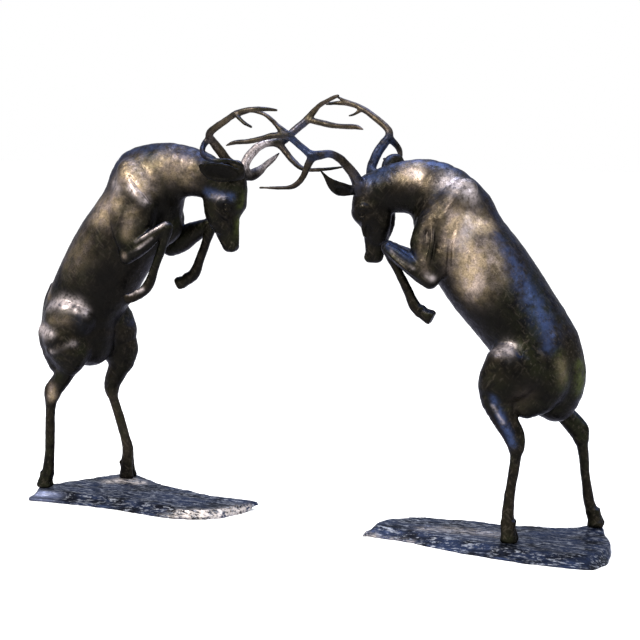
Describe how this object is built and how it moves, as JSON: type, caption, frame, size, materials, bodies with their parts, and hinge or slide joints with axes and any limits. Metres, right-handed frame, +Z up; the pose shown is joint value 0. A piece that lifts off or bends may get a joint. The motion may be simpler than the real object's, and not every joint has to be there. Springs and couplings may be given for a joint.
{
  "type": "stag garden sculpture",
  "caption": "Life-size bronze stags rearing against each other with crossed antlers, on flat rock-like bases",
  "frame": {"origin": "middle of the group's underside, on the ground", "axes": "+X from the left stag to the right one as seen from the front, +Y to the back, +Z up"},
  "size_m": [2.979, 0.6264, 2.0511],
  "materials": {
    "patinated_bronze": "dark brown patina, rubbed to a dull shine",
    "rough_bronze": "dark patina on a rough rock texture"
  },
  "bodies": {
    "root": {"left_stag": "patinated_bronze", "right_stag": "patinated_bronze", "left_base": "rough_bronze", "right_base": "rough_bronze"}
  },
  "joints": []
}
